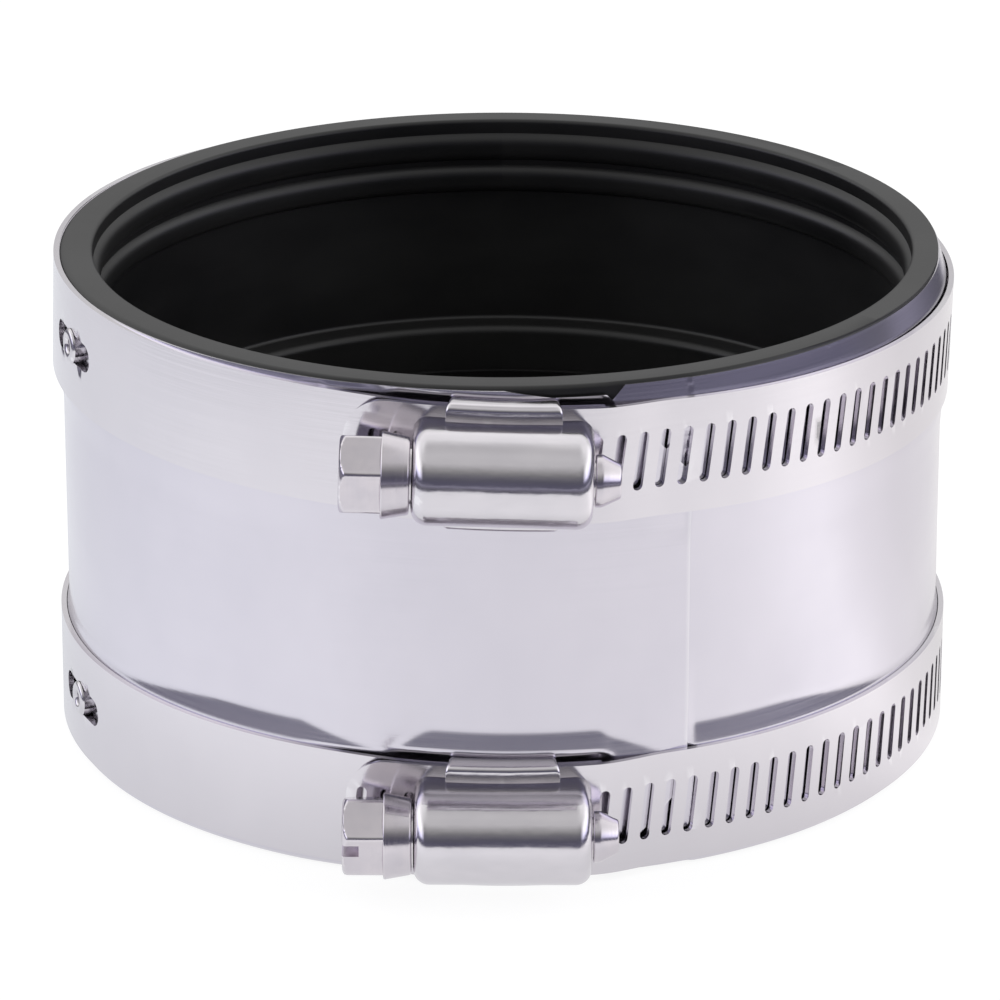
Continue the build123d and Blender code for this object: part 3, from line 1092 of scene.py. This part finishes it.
def moulded_rubber():
    """Black satin rubber with a fine skin, faint flow marks and a dusty bloom."""
    dark, dusty = (0.0066, 0.0067, 0.0072), (0.0165, 0.0162, 0.0155)
    material, tree, shader = new_material("rubber", dark, 0.0, 0.4)
    skin = mottle(tree, scaled_place(tree, (1.0, 1.0, 1.0)), 2600.0, 3.0)
    cloud = mottle(tree, rolled_place(tree, 1.3, 70.0), 1.0, 4.0, 0.6)
    flow = mottle(tree, rolled_place(tree, 3.0, 420.0), 1.0, 2.0)
    tree.links.new(tint(tree, spread(tree, cloud, 0.0, 1.0), dark, dusty), shader.inputs["Base Color"])
    tree.links.new(spread(tree, cloud, 0.34, 0.46), shader.inputs["Roughness"])
    first = roughen(tree, shader, flow, 0.02, 0.4)
    roughen(tree, shader, skin, 0.008, 0.55, first)
    return material


def dress(piece, material):
    """Gives the piece its one material."""
    piece.data.materials.clear()
    piece.data.materials.append(material)


def put(piece, node, body, material):
    """Lets a piece stand for its CAD node."""
    dress(piece, material)
    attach(piece, body)
    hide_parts(node)


def build_camera():
    """The photograph's view: a long lens, some 21 degrees above the horizon."""
    data = bpy.data.cameras.new("camera")
    data.lens = camera_lens
    data.sensor_width = 36.0
    data.clip_end = 50.0
    camera = bpy.data.objects.new("camera", data)
    elevation = math.radians(camera_elevation)
    offset = Vector((0, -math.cos(elevation), math.sin(elevation))) * camera_distance
    camera.location = (Vector(camera_target) + offset) * MM
    camera.rotation_euler = Euler((math.pi / 2 - elevation, 0, 0))
    bpy.context.scene.collection.objects.link(camera)
    bpy.context.scene.camera = camera


def build_floor():
    """A white table with painted light in reflections: full near the object, dim beyond, and painted
    shade under it.
    """
    level = base_height * MM
    mesh = bpy.data.meshes.new("floor")
    reach = floor_reach
    corners = [(-reach, -reach, level), (reach, -reach, level), (reach, reach, level),
               (-reach, reach, level)]
    mesh.from_pydata(corners, [], [(0, 1, 2, 3)])
    floor = bpy.data.objects.new("floor", mesh)
    bpy.context.scene.collection.objects.link(floor)
    material, tree, shader = new_material("floor", (0.9, 0.9, 0.9), 0.0, 0.9)
    shader.inputs["Specular IOR Level"].default_value = 0.0
    place = add_node(tree, "ShaderNodeTexCoord").outputs["Object"]
    away = add_node(tree, "ShaderNodeVectorMath", {0: place}, operation="LENGTH").outputs["Value"]
    parts = add_node(tree, "ShaderNodeSeparateXYZ", {"Vector": place}).outputs
    ahead = maths(tree, "MULTIPLY", parts["Y"], -1.0)
    turn = maths(tree, "DIVIDE", maths(tree, "ARCTAN2", parts["X"], ahead), math.pi)
    # Painted shade under the object and painted light that fades far off and changes round it, seen only
    # in reflections
    table = room_ramp(tree, away, table_glow)
    round_table = [(0.5 + angle / 360, value) for angle, value in window_glow]
    window = room_ramp(tree, spread(tree, turn, 0.0, 1.0, -1.0, 1.0), round_table)
    shine = maths(tree, "MULTIPLY", table, window)
    ray = add_node(tree, "ShaderNodeLightPath").outputs
    mirrored = maths(tree, "MAXIMUM", ray["Is Glossy Ray"], ray["Is Transmission Ray"])
    strength = mix_values(tree, mirrored, floor_light, maths(tree, "MULTIPLY", shine, floor_light))
    seen = maths(tree, "MAXIMUM", ray["Is Camera Ray"], mirrored)
    # Painted tint of the floor's light in reflections: cool and warm at the sides, violet far off
    far = spread(tree, away, 0.0, 1.0, *far_table)
    sides = spread(tree, turn, 0.0, 1.0, -0.5, 0.5)
    hue = blend_colours(tree, far, tint(tree, sides, cool_side, warm_side), violet_far)
    unmirrored = maths(tree, "SUBTRACT", 1.0, mirrored)
    glow = add_node(tree, "ShaderNodeEmission", {"Strength": strength})
    tree.links.new(blend_colours(tree, unmirrored, hue, white), glow.inputs["Color"])
    share = maths(tree, "MULTIPLY", seen, glow_seen)
    share = maths(tree, "ADD", share, maths(tree, "MULTIPLY", mirrored, glow_mirrored))
    values = {"Fac": share, 1: shader.outputs["BSDF"], 2: glow.outputs["Emission"]}
    mixed = add_node(tree, "ShaderNodeMixShader", values)
    tree.links.new(mixed.outputs[0], tree.nodes["Material Output"].inputs["Surface"])
    dress(floor, material)


def build_world():
    """A room: dark along the horizon, grey overhead, bright soft walls at both sides."""
    world = bpy.data.worlds.new("world")
    bpy.context.scene.world = world
    world.use_nodes = True
    tree = world.node_tree
    way = add_node(tree, "ShaderNodeTexCoord").outputs["Generated"]
    parts = add_node(tree, "ShaderNodeSeparateXYZ", {"Vector": way}).outputs
    front = room_ramp(tree, parts["Z"], front_glow)
    back = room_ramp(tree, parts["Z"], back_glow)
    wall = room_ramp(tree, parts["Z"], wall_glow)
    facing = spread(tree, parts["Y"], 1.0, 0.0, *front_span)
    side = spread(tree, maths(tree, "ABSOLUTE", parts["X"]), 0.0, 1.0, *wall_span)
    around = mix_values(tree, facing, back, front)
    level = mix_values(tree, side, around, wall)
    seen = add_node(tree, "ShaderNodeLightPath").outputs["Is Camera Ray"]
    strength = mix_values(tree, seen, level, 1.0)
    unseen = maths(tree, "SUBTRACT", 1.0, seen)
    low = maths(tree, "MULTIPLY", spread(tree, parts["Z"], 1.0, 0.0, *horizon_rise), unseen)
    low = maths(tree, "MULTIPLY", low, spread(tree, parts["Y"], 1.0, 0.0, *horizon_back))
    background = tree.nodes["Background"]
    tree.links.new(tint(tree, low, white, violet_horizon), background.inputs["Color"])
    tree.links.new(strength, background.inputs["Strength"])


rubber = moulded_rubber()
# The last number of each sheet steel is where its painted edge highlight starts
shield_steel = sheet_steel("shield_steel", (0.695, 0.668, 0.728), (0.665, 0.64, 0.702), 0.15, highlight_start)
band_steel = sheet_steel("band_steel", (0.72, 0.692, 0.728), (0.695, 0.668, 0.706), 0.14, 0.6)
housing_steel = pressed_steel("housing_steel", (0.74, 0.712, 0.745), (0.69, 0.665, 0.70), 0.13)
screw_steel = turned_steel("screw_steel", (0.71, 0.665, 0.70), (0.64, 0.605, 0.65), 0.16)
rivet_steel = pressed_steel("rivet_steel", (0.70, 0.675, 0.70), (0.64, 0.62, 0.65), 0.17)

put(build_sleeve(), "rubber_sleeve", "root", rubber)
put(build_shield(), "shield", "root", shield_steel)
for name, (phase, head_turn, driver_turn) in clamps.items():
    matrix = seat_matrix(name)
    put(build_band(name, phase), f"{name}_band", "root", band_steel)
    put(build_saddle(name, matrix), f"{name}_saddle", "root", housing_steel)
    housing = join([build_housing(name, matrix), build_feet(name, matrix)], f"{name}_housing_pressing")
    shade(housing, 45)
    put(housing, f"{name}_housing", "root", housing_steel)
    put(build_screw(name, phase, head_turn, driver_turn, matrix), f"{name}_screw", f"{name}_screw",
        screw_steel)
    put(build_rivet(name, matrix), f"{name}_rivet", "root", rivet_steel)

build_camera()
build_floor()
build_world()

bpy.context.scene.view_settings.view_transform = "Standard"
